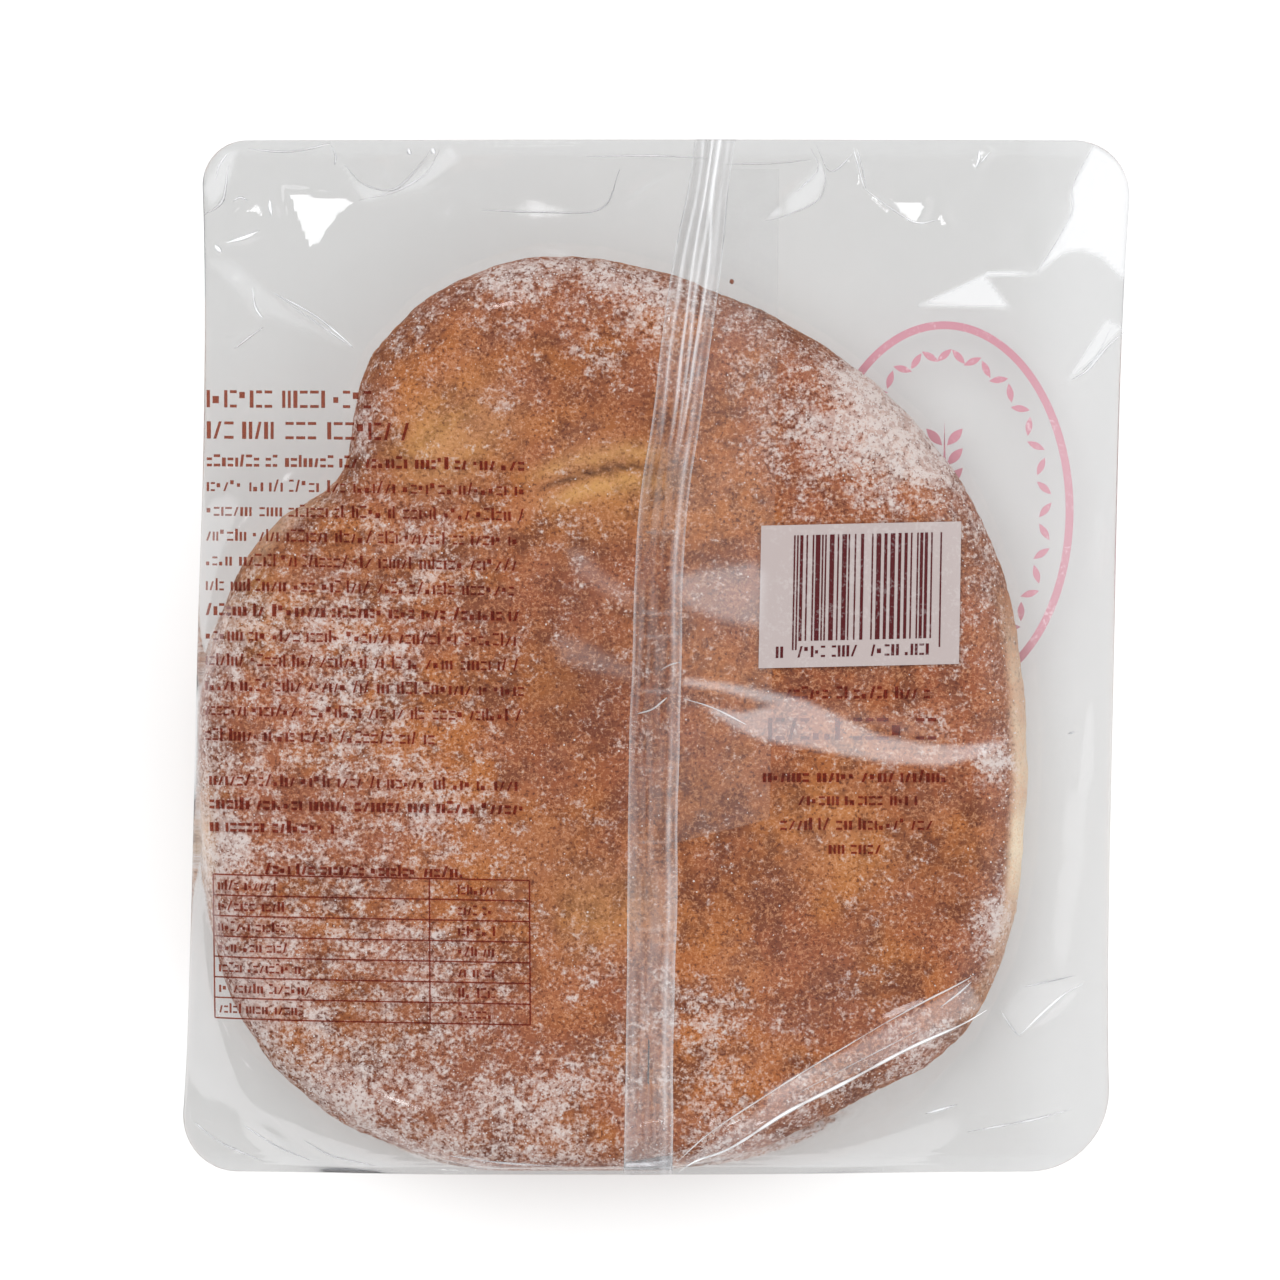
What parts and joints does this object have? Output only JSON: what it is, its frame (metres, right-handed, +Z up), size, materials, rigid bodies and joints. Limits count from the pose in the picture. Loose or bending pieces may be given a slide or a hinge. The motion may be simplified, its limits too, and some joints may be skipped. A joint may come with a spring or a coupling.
{
  "type": "bagged ensaimada",
  "caption": "Flat coiled sweet bun dusted with icing sugar, sealed in a clear film bag with a fin seam down its back and a seal across each end, lying seam side up.",
  "frame": {"origin": "under the middle of the bag's own box, on the surface that the bag lies on", "axes": "+X across the bag, to the right in the picture; +Y along the bag, towards the end seal at the top of the picture; +Z up, out of the back, which carries the fin seam"},
  "size_m": [0.2026, 0.2206, 0.0296],
  "materials": {
    "film_over_crust": "clear glossy film with a browned, sugar-dusted crust right behind it",
    "clear_film": "thin clear film, glossy and creased",
    "crust": "browned pastry crust, matt, with icing sugar rubbed into it",
    "icing_sugar": "fine white sugar, matt, in clumps",
    "brown_ink": "brown print on clear film",
    "pink_ink": "pink print on clear film",
    "label_paper": "white print that holds the bars of a barcode"
  },
  "bodies": {
    "root": {"sealed_bag": "film_over_crust"}
  },
  "joints": []
}
